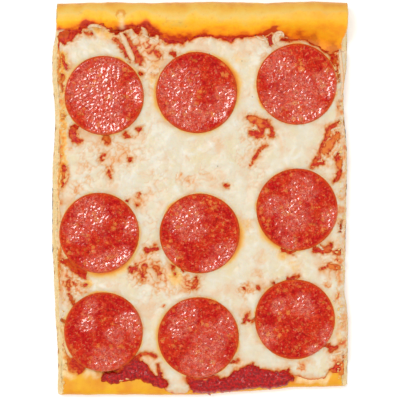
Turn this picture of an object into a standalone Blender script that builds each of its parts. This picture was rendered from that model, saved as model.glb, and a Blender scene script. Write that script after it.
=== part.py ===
"""A rectangular slice of pan-baked pepperoni pizza, lying flat.

Its raised baked rim runs along +Y and its low baked front edge along -Y. Its two long sides are cuts.
On the dough lie a layer of tomato sauce, a layer of melted mozzarella and nine slices of pepperoni.
Units are metres and +Z is up. The origin is the middle of the underside.
"""

import math

import bmesh
import bpy
from mathutils import Vector

MM = 0.001
LAYER_GAP = 0.35 * MM

# The dough: its plan, as smooth lines of (place along the edge, distance from the middle), in millimetres.
LEFT_CUT = (
    (-100, 72.6), (-80, 72.6), (-55, 74), (-20, 75.5), (10, 75.3),
    (40, 74), (70, 75.5), (88, 73.4), (100, 73),
)
RIGHT_CUT = ((-100, 75.2), (-62, 75.5), (-45, 73.8), (-10, 74.5), (20, 75), (52, 73.2), (75, 75), (100, 75.2))
FRONT_EDGE = ((-75, 100), (-5, 100), (25, 98.2), (50, 96.2), (75, 95.5))
BACK_EDGE = ((-75, 99.2), (-50, 99.7), (-30, 99.5), (0, 100), (30, 99.6), (60, 100), (75, 99.6))

# The dough: how far the rim reaches in from the back edge, and how high it stands, both along X.
RIM_REACH = ((-75, 18), (-48, 16), (-25, 19), (-8, 21), (20, 20), (38, 18), (52, 20), (75, 24))
RIM_HEIGHT = ((-75, 17.5), (-50, 17), (-28, 19), (-8, 20), (30, 19), (50, 19.5), (75, 20))
RIM_BACK_RADIUS = 9 * MM
DOUGH_THICKNESS = 10.5 * MM
FRONT_THICKNESS = 9 * MM
FRONT_RADIUS = 4 * MM
FRONT_SLOPE = 30 * MM
CUT_LEAN = 2.2 * MM
ROUND_POWER = 2.5

# The layers on the dough.
SAUCE_THICKNESS = 1.3 * MM
SAUCE_FRONT = ((-75, 91), (-52, 93), (-44, 96), (-20, 98), (-8, 98), (30, 96), (46, 93), (75, 90))
CHEESE_THICKNESS = 2.5 * MM
CHEESE_HOLLOW = 0.7 * MM
CHEESE_FRONT = (
    (-75, 88), (-56, 91), (-48, 86), (-30, 80), (-20, 84), (-14, 95), (-8, 95.5),
    (0, 90), (20, 86), (28, 84), (42, 88), (50, 91), (60, 91), (75, 84),
)
SIDE_MARGIN = 2.6 * MM
RIM_MARGIN = 0.8 * MM

# Openings in the cheese that show the sauce: place, half sizes and turn, in millimetres and degrees.
OPENINGS = (
    (31, 37.5, 6.5, 5, -15),
    (66.5, 28, 3.4, 6.5, -25),
    (-63.5, 33, 3, 4.5, 10),
    (-28, -39, 7, 3.2, -12),
    (-26, -25.5, 3.4, 2, 5),
    (60.5, -25.5, 5, 2.8, 5),
    (65.5, -76.5, 4, 2.4, 8),
    (-36, 77, 2.2, 4.8, 30),
)
OPENING_SIDES = 14

# Pepperoni: the middle of each slice and its radius, in millimetres.
PEPPERONI = (
    (-48.6, 52.2, 20.2), (-1.8, 53.7, 20.7), (49.0, 58.0, 20.6),
    (-51.0, -17.5, 20.4), (-0.2, -17.7, 20.4), (49.2, -5.5, 20.8),
    (-49.0, -67.6, 20.2), (-0.8, -70.4, 20.6), (48.0, -61.1, 20.4),
)
PEPPERONI_THICKNESS = 1.6 * MM
PEPPERONI_DOME = 0.4 * MM
PEPPERONI_CURL = 0.8 * MM
PEPPERONI_STEPS = 32


def ease(share):
    """A share from 0 to 1 that starts and ends gently."""
    share = min(max(share, 0), 1)
    return share * share * (3 - 2 * share)


def along(line, place):
    """The distance, in metres, that a smooth line of millimetre points has at a place in metres."""
    at = place / MM
    for (low, first), (high, last) in zip(line, line[1:]):
        if at <= high:
            return MM * (first + (last - first) * ease((at - low) / (high - low)))
    return MM * line[-1][1]


def cut_side(share, y, inset=0.0):
    """X at a share from the left cut side, 0, to the right one, 1."""
    left = -along(LEFT_CUT, y) + inset
    right = along(RIGHT_CUT, y) - inset
    return left + (right - left) * share


def rim_foot(x):
    """Y where the rim starts to rise from the dough."""
    return along(BACK_EDGE, x) - along(RIM_REACH, x)


def rim_crest(x):
    """Y of the rim's highest line."""
    return along(BACK_EDGE, x) - RIM_BACK_RADIUS


def dough_top(x, y):
    """Height of the dough's upper surface, from the front rounding to the rim's crest."""
    front = -along(FRONT_EDGE, x) + FRONT_RADIUS
    low = FRONT_THICKNESS + (DOUGH_THICKNESS - FRONT_THICKNESS) * ease((y - front) / FRONT_SLOPE)
    rise = ease((y - rim_foot(x)) / (rim_crest(x) - rim_foot(x)))
    return low + (along(RIM_HEIGHT, x) - low) * rise


def round_end(share, height, radius):
    """(reach, height) on a rounded edge, from its bottom at share 0 to its top at share 1."""
    angle = math.pi * (share - 0.5)
    reach = radius * math.cos(angle) ** (2 / ROUND_POWER)
    rise = math.copysign(abs(math.sin(angle)) ** (2 / ROUND_POWER), angle)
    return reach, height / 2 * (1 + rise)


def dough_section(x, b, c):
    """(y, z) in the dough at x: b runs from the front to the rim's crest, c from the bottom to the top."""
    front = -along(FRONT_EDGE, x) + FRONT_RADIUS
    foot, crest = rim_foot(x), rim_crest(x)
    y = front + (foot - front) * 1.5 * b if b < 2 / 3 else foot + (crest - foot) * (3 * b - 2)
    reach, z = round_end(c, FRONT_THICKNESS, FRONT_RADIUS)
    back_reach, back_z = round_end(c, along(RIM_HEIGHT, x), RIM_BACK_RADIUS)
    flat = (1 - b) * FRONT_THICKNESS + b * along(RIM_HEIGHT, x)
    return (
        y - (1 - b) * reach + b * back_reach,
        c * (dough_top(x, y) - flat) + (1 - b) * z + b * back_z,
    )


def gridded_box(cuts):
    """A box from (0, 0, 0) to (1, 1, 1) whose faces are cut into strips along X, Y and Z."""
    bm = bmesh.new()
    bmesh.ops.create_cube(bm, size=1)
    bmesh.ops.translate(bm, verts=bm.verts, vec=(0.5, 0.5, 0.5))
    for axis, count in enumerate(cuts):
        edges = [e for e in bm.edges if abs((e.verts[0].co - e.verts[1].co)[axis]) > 0.5]
        bmesh.ops.subdivide_edges(bm, edges=edges, cuts=count - 1, use_grid_fill=True)
    return bm


def material(name, colour, roughness):
    """A plain finish for one kind of piece."""
    made = bpy.data.materials.new(name)
    made.use_nodes = True
    shader = made.node_tree.nodes["Principled BSDF"]
    shader.inputs["Base Color"].default_value = (*colour, 1)
    shader.inputs["Roughness"].default_value = roughness
    shader.inputs["Metallic"].default_value = 0
    return made


def add_object(name, bm, finish, collection):
    """Puts a finished shape in the scene under its name."""
    mesh = bpy.data.meshes.new(name)
    bmesh.ops.recalc_face_normals(bm, faces=bm.faces)
    bm.to_mesh(mesh)
    bm.free()
    mesh.shade_smooth()
    mesh.set_sharp_from_angle(angle=math.radians(40))
    mesh.materials.append(finish)
    made = bpy.data.objects.new(name, mesh)
    collection.objects.link(made)
    return made


def make_dough(collection):
    """The dough with its rim: a loft of one section that changes along X, with leaning cut sides."""
    bm = gridded_box((18, 27, 6))
    for vert in bm.verts:
        share, b, c = vert.co
        y, z = dough_section((share - 0.5) * 150 * MM, b, c)
        x = cut_side(share, y, CUT_LEAN * ease(z / DOUGH_THICKNESS))
        vert.co = Vector((x, y, z))
    flat = [f for f in bm.faces if all(v.co.z < 1e-6 for v in f.verts)]
    bmesh.ops.dissolve_faces(bm, faces=flat)
    return add_object("crust", bm, material("baked_dough", (0.86, 0.6, 0.22), 0.6), collection)


def make_layer(name, cuts, front_line, inset, bottom, top, finish, collection):
    """A layer over the dough, from a front line to the rim's foot, between two given surfaces."""
    bm = gridded_box(cuts)
    for vert in bm.verts:
        share, b, c = vert.co
        x = (share - 0.5) * 150 * MM
        front, back = -along(front_line, x), rim_foot(x) - RIM_MARGIN
        y = front + (back - front) * b
        x = cut_side(share, y, inset)
        low, high = bottom(x, y), top(x, y)
        vert.co = Vector((x, y, low + (high - low) * c))
    return add_object(name, bm, finish, collection)


def sauce_bottom(x, y):
    return dough_top(x, y) + LAYER_GAP


def sauce_top(x, y):
    return sauce_bottom(x, y) + SAUCE_THICKNESS


def cheese_bottom(x, y):
    return sauce_top(x, y) + LAYER_GAP


def cheese_top(x, y):
    """Height of the cheese: full under the pepperoni, and slightly hollowed in a slow pattern elsewhere."""
    wave = math.sin(x / (11 * MM)) * math.cos(y / (13 * MM)) + math.sin((x + y) / (17 * MM))
    clear = min(math.hypot(x - px * MM, y - py * MM) - r * MM for px, py, r in PEPPERONI)
    hollow = CHEESE_HOLLOW * (1 + wave / 2) / 2 * ease(clear / (6 * MM))
    return cheese_bottom(x, y) + CHEESE_THICKNESS - hollow


def make_opening(index, place, cutters):
    """An oval cutter through the cheese."""
    x, y, half_x, half_y, turn = place
    bm = bmesh.new()
    bmesh.ops.create_cone(
        bm, cap_ends=True, segments=OPENING_SIDES, radius1=MM, radius2=MM, depth=20 * MM
    )
    bmesh.ops.scale(bm, verts=bm.verts, vec=(half_x, half_y, 1))
    cutter = add_object(f"cheese_opening_{index}", bm, material("cutter", (0.5, 0.5, 0.5), 1), cutters)
    cutter.location = (x * MM, y * MM, DOUGH_THICKNESS)
    cutter.rotation_euler.z = math.radians(turn)
    cutter.hide_render = True
    cutter.display_type = "WIRE"
    return cutter


def make_cheese(collection, cutters):
    """The melted cheese, with the larger openings that show the sauce under it."""
    finish = material("melted_cheese", (0.85, 0.75, 0.55), 0.4)
    cheese = make_layer(
        "mozzarella", (22, 24, 1), CHEESE_FRONT, SIDE_MARGIN + 0.6 * MM,
        cheese_bottom, cheese_top, finish, collection,
    )
    for index, place in enumerate(OPENINGS, 1):
        cut = cheese.modifiers.new(f"opening_{index}", "BOOLEAN")
        cut.operation = "DIFFERENCE"
        cut.solver = "EXACT"
        cut.object = make_opening(index, place, cutters)
    return cheese


def pepperoni_profile(radius):
    """(reach, height) points of half a slice, from the middle of its top round its edge to the bottom."""
    shoulder = 0.72 * radius
    edge = PEPPERONI_CURL + PEPPERONI_THICKNESS
    return (
        (0, PEPPERONI_THICKNESS + PEPPERONI_DOME),
        (0.42 * radius, PEPPERONI_THICKNESS + 0.8 * PEPPERONI_DOME),
        (shoulder, PEPPERONI_THICKNESS),
        (radius - 0.5 * MM, edge),
        (radius, edge - 0.5 * MM),
        (radius - 0.2 * MM, PEPPERONI_CURL),
        (shoulder, 0),
        (0, 0),
    )


def pepperoni_seat(x, y, radius):
    """The place of a slice and its turn about X, lying on the full thickness of the cheese."""
    back, middle, front = (cheese_bottom(x, y + step) for step in (radius, 0, -radius))
    height = max(middle, (back + front) / 2) + CHEESE_THICKNESS + LAYER_GAP
    return (x, y, height), math.atan2(back - front, 2 * radius)


def make_pepperoni(index, place, finish, collection):
    """One slice of pepperoni, turned about its own middle, with a low dome and a curled edge."""
    x, y, radius = place
    name = f"pepperoni_{index}"
    bm = bmesh.new()
    verts = [bm.verts.new((reach, 0, height)) for reach, height in pepperoni_profile(radius * MM)]
    for first, last in zip(verts, verts[1:]):
        bm.edges.new((first, last))
    mesh = bpy.data.meshes.new(name)
    bm.to_mesh(mesh)
    bm.free()
    mesh.materials.append(finish)
    made = bpy.data.objects.new(name, mesh)
    collection.objects.link(made)
    turned = made.modifiers.new("turned", "SCREW")
    turned.steps = PEPPERONI_STEPS
    turned.render_steps = PEPPERONI_STEPS
    turned.use_merge_vertices = True
    turned.merge_threshold = 0.01 * MM
    turned.use_smooth_shade = True
    made.location, made.rotation_euler.x = pepperoni_seat(x * MM, y * MM, radius * MM)
    return made


def main():
    for old in list(bpy.data.objects):
        bpy.data.objects.remove(old)
    slice_parts = bpy.data.collections.new("pepperoni_pizza_slice")
    cutters = bpy.data.collections.new("cutters")
    bpy.context.scene.collection.children.link(slice_parts)
    bpy.context.scene.collection.children.link(cutters)

    make_dough(slice_parts)
    make_layer(
        "tomato_sauce", (18, 22, 1), SAUCE_FRONT, SIDE_MARGIN,
        sauce_bottom, sauce_top, material("tomato_sauce", (0.48, 0.04, 0.03), 0.35), slice_parts,
    )
    make_cheese(slice_parts, cutters)
    meat = material("pepperoni", (0.62, 0.06, 0.03), 0.35)
    for index, place in enumerate(PEPPERONI, 1):
        make_pepperoni(index, place, meat, slice_parts)


main()
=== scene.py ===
"""Looks of a rectangular slice of pan-baked pepperoni pizza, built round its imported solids.

Lengths are in millimetres until a mesh is placed. +X runs to the right of the slice, +Y to its raised rim
and +Z up. The slice lies on Z = 0.
"""

import collections
import itertools
import math

import bmesh
import bpy
import numpy as np
from mathutils import Matrix, Vector


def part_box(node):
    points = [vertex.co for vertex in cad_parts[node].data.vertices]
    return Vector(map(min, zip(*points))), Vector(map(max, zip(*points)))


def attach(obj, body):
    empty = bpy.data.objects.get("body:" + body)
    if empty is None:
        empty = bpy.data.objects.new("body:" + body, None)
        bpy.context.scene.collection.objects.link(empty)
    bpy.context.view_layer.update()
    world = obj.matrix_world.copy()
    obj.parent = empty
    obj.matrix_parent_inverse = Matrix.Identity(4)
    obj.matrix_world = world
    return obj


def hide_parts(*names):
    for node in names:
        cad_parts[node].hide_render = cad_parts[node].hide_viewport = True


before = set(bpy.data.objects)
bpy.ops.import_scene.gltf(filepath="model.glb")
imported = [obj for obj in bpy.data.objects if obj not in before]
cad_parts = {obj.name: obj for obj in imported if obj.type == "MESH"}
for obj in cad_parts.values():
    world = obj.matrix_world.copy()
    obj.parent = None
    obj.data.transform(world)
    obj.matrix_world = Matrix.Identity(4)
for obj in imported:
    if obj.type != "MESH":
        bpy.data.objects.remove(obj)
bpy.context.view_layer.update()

MM = 0.001

# ---- Camera, light and floor ----

VIEW_WIDTH = 202.8
VIEW_LENS = 300
VIEW_SENSOR = 36
VIEW_LEVEL = 15
VIEW_MIDDLE_Y = -0.75
CLOSEST_VIEW = 50
SKY_LEVEL = 0.66
FLOOR_SIZE = 3000
FLOOR_GAP = 0.2
FLOOR_PALENESS = 0.97
FLOOR_GLOW = 0.13


def aim(thing, place, target):
    """Puts a camera or a lamp at a place, in millimetres, and turns it to look at a target."""
    thing.location = Vector(place) * MM
    thing.rotation_euler = (Vector(target) - Vector(place)).to_track_quat("-Z", "Y").to_euler()
    bpy.context.scene.collection.objects.link(thing)
    return thing


def make_camera():
    """A camera straight over the slice."""
    lens = bpy.data.cameras.new("camera")
    lens.lens = VIEW_LENS
    lens.sensor_width = VIEW_SENSOR
    lens.clip_start = CLOSEST_VIEW * MM
    away = VIEW_WIDTH * VIEW_LENS / VIEW_SENSOR
    camera = bpy.data.objects.new("camera", lens)
    aim(camera, (0, VIEW_MIDDLE_Y, VIEW_LEVEL + away), (0, VIEW_MIDDLE_Y, 0))
    bpy.context.scene.camera = camera


def make_lamp(name, place, size, power):
    """A square soft lamp aimed at the middle of the slice."""
    lamp = bpy.data.lights.new(name, "AREA")
    lamp.size = size * MM
    lamp.energy = power
    aim(bpy.data.objects.new(name, lamp), place, (0, 0, VIEW_LEVEL))


def make_studio():
    """White surroundings, a key lamp at the back left, a fill lamp at the front right, a pale floor."""
    world = bpy.data.worlds.new("studio")
    world.use_nodes = True
    sky = world.node_tree.nodes["Background"]
    sky.inputs["Color"].default_value = (1, 1, 1, 1)
    sky.inputs["Strength"].default_value = SKY_LEVEL
    bpy.context.scene.world = world
    bpy.context.scene.view_settings.view_transform = "Standard"
    make_lamp("key", (-720, 580, 2500), 800, 32)
    make_lamp("fill", (1100, -1150, 2100), 1400, 16)

    bm = bmesh.new()
    bmesh.ops.create_grid(bm, x_segments=1, y_segments=1, size=FLOOR_SIZE * MM)
    mesh = bpy.data.meshes.new("floor")
    bm.to_mesh(mesh)
    bm.free()
    mesh.materials.append(Finish("floor").surface(
        Base_Color=(FLOOR_PALENESS, FLOOR_PALENESS, FLOOR_PALENESS, 1),
        Roughness=0.9, Specular_IOR_Level=0,
        Emission_Color=(1, 1, 1, 1), Emission_Strength=FLOOR_GLOW,
    ))
    floor = bpy.data.objects.new("floor", mesh)
    floor.location.z = -FLOOR_GAP * MM
    bpy.context.scene.collection.objects.link(floor)


# ---- Measures of the slice ----

# The dough: smooth lines of (place along the edge, distance from the middle), and in the same form how
# far its rim reaches in from the back and how high it is.
LEFT_CUT = (
    (-100, 72.6), (-80, 72.6), (-55, 74), (-20, 75.5), (10, 75.3), (40, 74), (70, 75.5), (88, 73.4),
    (100, 73),
)
RIGHT_CUT = (
    (-100, 75.2), (-62, 75.5), (-45, 73.8), (-10, 74.5), (20, 75), (52, 73.2), (75, 75), (100, 75.2),
)
FRONT_EDGE = ((-75, 100), (-5, 100), (25, 98.2), (50, 96.2), (75, 95.5))
BACK_EDGE = ((-75, 99.2), (-50, 99.7), (-30, 99.5), (0, 100), (30, 99.6), (60, 100), (75, 99.6))
RIM_REACH = ((-75, 18), (-48, 16), (-25, 19), (-8, 21), (20, 20), (38, 18), (52, 20), (75, 24))
RIM_HEIGHT = ((-75, 17.5), (-50, 17), (-28, 19), (-8, 20), (30, 19), (50, 19.5), (75, 20))
RIM_BACK_RADIUS = 9
DOUGH_THICKNESS = 10.5
FRONT_THICKNESS = 9
FRONT_RADIUS = 4
FRONT_SLOPE = 30
CUT_LEAN = 2.6
ROUND_POWER = 2.5

# The edges of the sauce and of the cheese, as smooth lines of the same kind.
SAUCE_RIM = (
    (-76, 84.5), (-66, 86), (-55.5, 89.5), (-50, 89), (-46, 87), (-40.5, 85.5), (-34, 87.5),
    (-27, 88.7), (-22, 85.6), (-18, 82), (-11, 80.1), (-4, 82.2), (2, 83.7), (10, 82), (18, 82),
    (27, 82.3), (33, 83.4), (40, 84.6), (43.5, 82.8), (46, 81.3), (53, 81.3), (58, 79), (66, 74.5),
    (70, 75.6), (76, 75.6),
)
CHEESE_RIM = (
    (-76, 79.5), (-68, 80), (-65, 82), (-63, 85), (-58, 86.3), (-54, 88.6), (-50, 88), (-46, 86),
    (-41, 84.5), (-34, 86.5), (-30, 87), (-26, 86), (-22, 83.5), (-19, 81), (-14, 78.9), (-9.5, 79.2),
    (-5.5, 80.7), (-2.5, 81.6), (2, 82.7), (9, 81.8), (13, 80.7), (16, 79.8), (19, 81.5), (30, 83),
    (33, 83), (37, 84.5), (41, 84.8), (44, 82.3), (46, 80.6), (53, 80.8), (58, 78), (64, 74.5),
    (70, 75), (76, 75),
)
SAUCE_FRONT = (
    (-76, 76), (-70, 78), (-66, 88), (-61, 89.5), (-57, 85), (-50, 87), (-20, 92), (-10, 96), (0, 95),
    (40, 92), (46, 87), (56, 87.5), (64, 87), (68, 89), (76, 91),
)
CHEESE_FRONT = (
    (-76, 72), (-70, 76), (-66, 81), (-58, 84), (-50, 87), (-40, 88), (-30, 90), (-20, 92), (-17.5, 98),
    (-13, 99.3), (-8, 99.3), (-4, 97), (0, 93), (10, 92), (40, 90), (47, 90), (56, 92), (63, 91.5),
    (67, 86), (71, 83), (76, 83),
)
SAUCE_LEFT = (
    (-100, 64), (-90, 67), (-76, 67.5), (-60, 69.5), (-45, 70.5), (-32, 71), (-20, 69), (-5, 69),
    (5, 70.5), (14, 70.5), (22, 69.5), (34, 69.5), (38, 68), (47, 68), (54, 69.5), (60, 70.5),
    (66, 71.3), (72, 70.5), (78, 72), (100, 72),
)
CHEESE_LEFT = (
    (-100, 68), (-85, 68.5), (-72, 69.5), (-60, 71.5), (-45, 71.5), (-30, 70.5), (-15, 71), (0, 71.5),
    (8, 71.5), (20, 71), (36, 71.5), (50, 71.3), (62, 71.6), (70, 71), (76, 71.5), (100, 71),
)
SAUCE_RIGHT_MARGIN = 2.7
CHEESE_RIGHT_MARGIN = 0.9

# Heights over the dough.
SAUCE_DEPTH = 1.4
MASS_DEPTH = 1.5
CHEESE_DEPTH = 3.5
SEAT_DEPTH = 4.15
SEAT_LIP = 0.8
LIP_REACH = 2.0
SUNK = 0.12

# Openings in the cheese that show the sauce. Each is a stroke of (x, y, half width) points.
OPENINGS = (
    # along the rim
    ((-69.5, 80.3, 1.5), (-66, 82.6, 2.2), (-61.9, 85.8, 1.6), (-58.2, 87.6, 0.7)),
    ((-60.2, 84.1, 0.4), (-54.9, 83.5, 0.4)),
    ((-46.8, 87, 0.7), (-43.9, 85.2, 1.6), (-41.6, 84.6, 0.9)),
    ((-43.3, 81.1, 0.4), (-40.4, 77.9, 0.6), (-37.8, 74.4, 0.8), (-35.4, 70.4, 0.4)),
    ((-37.8, 83.2, 0.5), (-36, 79.1, 0.9), (-33.7, 75.6, 1.7), (-31.9, 72.1, 1.5), (-30.5, 68.9, 0.7)),
    ((-34, 86.7, 0.8), (-32.2, 85.2, 1.7), (-31.9, 83.8, 0.6)),
    ((-27.6, 87.6, 1.1), (-25.2, 85.8, 1.6), (-23.8, 83.5, 1.6)),
    ((-19.4, 81.4, 0.7), (-17.1, 79.9, 0.7), (-13.6, 79.1, 0.4), (-9.5, 79.4, 0.4), (-5.5, 80.9, 0.4)),
    ((-5.5, 81, 0.4), (-2.5, 82.2, 0.5), (6.2, 82.9, 0.4), (13.1, 81.7, 0.9), (15.5, 80.6, 0.9)),
    ((-22.9, 75, 0.8), (-20.6, 72.7, 0.9)),
    ((-14.4, 73.9, 0.7), (-13.3, 73.2, 1.0)),
    ((35.5, 82, 0.9), (36.1, 78.5, 0.7)),
    ((41.7, 80.9, 0.6), (45.7, 80.9, 0.7), (50.4, 81.1, 0.5)),
    # down the left side
    ((-69.5, 72.7, 0.6), (-69.5, 68.9, 1.2), (-68, 67.2, 1.3)),
    ((-70, 62.8, 1.1), (-70.4, 58.7, 1.0), (-70.4, 54.7, 0.7)),
    ((-70, 42.1, 1.1),),
    ((-63.7, 35.7, 1.7), (-64.8, 32.9, 1.7), (-63.7, 29.9, 1.2), (-61, 28.7, 0.6)),
    ((-69.2, 16.2, 1.0), (-69.5, 11, 1.1), (-69.8, 6.5, 0.6)),
    ((-69.5, -32.1, 1.1), (-67.1, -32.1, 1.4), (-63.7, -35.6, 1.7), (-59.6, -37.9, 1.4),
     (-57.8, -40.3, 0.6)),
    ((-67.4, -43.2, 0.4), (-65.7, -41.4, 0.5), (-63.7, -43.2, 0.4)),
    ((-67.2, -43.4, 0.4), (-65.9, -46.5, 0.4)),
    ((-58.1, -43.8, 1.0),),
    ((-66.6, -48.9, 0.4), (-65.4, -51.2, 0.45), (-63.7, -53.5, 0.4)),
    ((-73, -58.8, 0.3), (-69.5, -62.6, 0.45)),
    ((-69.8, -73, 0.7),),
    ((-66.6, -81.5, 0.8), (-65.1, -85, 1.5), (-62.8, -87.9, 1.2)),
    # between the first two rows of pepperoni
    ((-47.4, 30.8, 1.6), (-46.2, 28.2, 0.8)),
    ((-38, 32.5, 0.5), (-35.4, 31.1, 0.5)),
    ((-31.3, 35.2, 0.8),),
    ((-49.1, 22, 0.4), (-50, 19.6, 0.5)),
    ((-35.4, 20, 0.65),),
    ((-46.2, 14.5, 0.3), (-45.9, 11, 0.5)),
    ((-30, 63.1, 0.5),),
    ((25.4, 41, 1.1), (30, 38.9, 1.8), (33, 36, 3.2), (36.4, 33.1, 1.7)),
    ((27.1, 33.1, 1.5), (31.8, 32, 1.3)),
    ((33, 26.7, 0.3), (30.6, 25.6, 0.35), (27.7, 20.9, 0.45), (25.7, 16.2, 0.2)),
    # down the right side
    ((65.5, 75, 0.7), (68.1, 71.5, 1.6), (68.4, 69.8, 1.3)),
    ((69.9, 68, 0.35), (70.2, 59.9, 0.3)),
    ((71.6, 47.4, 1.1),),
    ((73.1, 40.1, 0.5), (70.2, 38.4, 0.8), (66.4, 36, 1.2), (64.9, 32.5, 0.6)),
    ((64.9, 32.5, 0.6), (63.2, 29.1, 0.7), (61.4, 25.6, 0.6), (60.6, 20.9, 0.6), (56.8, 16.8, 0.8)),
    ((70.5, 32.6, 1.2), (68.2, 30.2, 1.6), (65.4, 26.7, 2.0), (63.4, 24.4, 1.5)),
    ((56.8, 16.8, 0.7), (62, 18.3, 0.7)),
    ((70.8, 22.1, 0.9), (70.5, 18, 1.6), (71.3, 14.5, 1.0), (69.6, 9.9, 0.5), (67.8, 8.9, 0.4)),
    ((72.8, -8.8, 0.6), (71.3, -17, 0.4)),
    ((58, -26.3, 0.6), (61.4, -26.3, 1.4), (65, -25.7, 1.4), (66.1, -24, 0.8)),
    ((68.4, -27.5, 0.7), (71.3, -27.5, 1.7)),
    ((62, -35.6, 0.4), (65, -33.9, 0.5), (68.4, -35, 1.3), (71.3, -35, 0.9)),
    ((63.8, -74.5, 0.6), (66.1, -76, 1.5), (68.4, -76.3, 0.8), (71.3, -75.6, 0.4)),
    ((73.1, -79.7, 0.6),),
    ((73.7, -83.2, 1.2), (70.8, -86.1, 1.3), (66.7, -89, 1.1)),
    # between the last two rows of pepperoni
    ((13.4, 6.3, 0.5),),
    ((-31.3, 1.6, 0.55),),
    ((-31.6, -3, 0.45),),
    ((-36.9, -1.3, 0.5),),
    ((-27.6, -26, 0.8), (-25.2, -26.3, 1.1), (-22.9, -25.1, 0.9), (-22.6, -23.7, 0.5)),
    ((-35.1, -36.2, 1.1), (-32.8, -35.3, 0.7)),
    ((-28.1, -34.4, 1.1), (-28.7, -37.3, 0.7), (-29.2, -40.5, 0.4)),
    ((-24.1, -33.9, 0.5), (-21.7, -35.6, 0.8), (-20.6, -38.5, 0.6)),
    ((-13.9, -35, 0.7), (-12.7, -37.9, 0.5)),
    ((-8.4, -36.5, 0.6),),
    ((-2.5, -42, 1.2), (-2.8, -44.9, 1.0)),
    ((41.7, -26.6, 0.5), (45.2, -27.1, 0.8), (47.5, -26.6, 0.4)),
    ((37.6, -42.9, 0.7),),
    ((44.6, -40.8, 0.4), (49.2, -39.7, 0.5)),
    ((29.5, -44.9, 0.55),),
    ((22.5, -46.1, 0.35),),
    ((22.5, -63.1, 0.4), (23.3, -60, 0.5), (24, -58.5, 0.35)),
    ((24.2, -61.7, 0.3), (27.1, -61.8, 0.3)),
    ((16.6, -82.9, 0.3), (19.5, -82.6, 0.3)),
)

# Thin cracks in the cheese, given in the same way.
CRACKS = (
    ((-36.4, -84.4, 0.4), (-32.4, -80.9, 0.5), (-29.4, -79.3, 0.5), (-25.3, -78.8, 0.4),
     (-22.6, -80.6, 0.25)),
    ((-21.4, -85, 0.3), (-20.6, -88, 0.5)),
)

# Bits of cheese that lie in the openings.
CHEESE_BITS = (
    ((27.3, 36.2, 2.0),),
    ((34.3, 34.1, 2.1),),
    ((62.6, -24.6, 0.9),),
    ((2.0, -92.4, 1.0), (3.4, -92.2, 1.0)),
    ((-41, -92.6, 0.9), (-36.3, -91.4, 0.9)),
)

# Places (x, y, half width, strength) where oil lies on the bare sauce.
OILY_SAUCE = (
    (69, 31, 2.6, 0.8), (65.2, 27, 2.4, 1), (63.4, 23.6, 1.8, 0.8), (71, 17.4, 1.7, 0.9),
    (66, 33.5, 1.6, 0.6), (30.2, 39, 2.2, 0.8), (26.6, 41, 2, 0.7), (33.5, 31.8, 1.6, 0.5),
    (67, -35, 2.4, 0.8), (71, -34.6, 2, 0.7), (-70, 60, 2, 0.6), (-70, 54.6, 1.8, 0.8),
    (-70, 42, 1.8, 0.5), (-69.6, 12, 2, 0.5), (-68.5, 70, 2, 0.4), (-28.5, -36, 2.4, 0.6),
    (-22, -35.6, 2.4, 0.6), (-13, -36.6, 2, 0.6), (-3, -43.6, 2.4, 0.4), (64, -25, 2, 0.5),
    (73, -85, 2, 0.5), (-63, -41, 2.4, 0.6), (-66, -45, 2.4, 0.7), (36, 85, 3, 0.4),
    (-47, 29.6, 2, 0.3),
)

# Thick masses of sauce at the front edge.
SAUCE_MASSES = (
    ((-48.2, -91.3, 2.6), (-44.6, -91.3, 3.1), (-39.5, -90.8, 2.9), (-35.5, -88.6, 4.0),
     (-31.9, -87.2, 5.3)),
    ((-31.9, -87.2, 5.3), (-28.4, -89.6, 3.9), (-24.3, -91.9, 2.8), (-20.3, -93.8, 2.8),
     (-18, -94.6, 2.2)),
    ((-21.3, -84.7, 0.3), (-20.5, -87.5, 0.6), (-20.3, -90.5, 1.4)),
    ((-5.2, -93.4, 1.6), (-1, -95.6, 3.8), (8.1, -95.3, 3.8), (15.4, -94.4, 4.1), (20.9, -92.1, 5.6)),
    ((20.9, -91.8, 5.5), (26.4, -90.6, 6.3), (31.8, -92, 4.9), (37.3, -92.2, 4.7), (42.8, -91.2, 4.2)),
    ((42.8, -91.2, 4.2), (45.8, -91.7, 2.2)),
    ((26.2, -86.8, 2.4), (27, -84.2, 0.7)),
    ((44, -88.6, 1.2), (45, -86.4, 0.4)),
    ((3.9, -98, 1.2), (5.3, -99.9, 0.4)),
)

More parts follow.
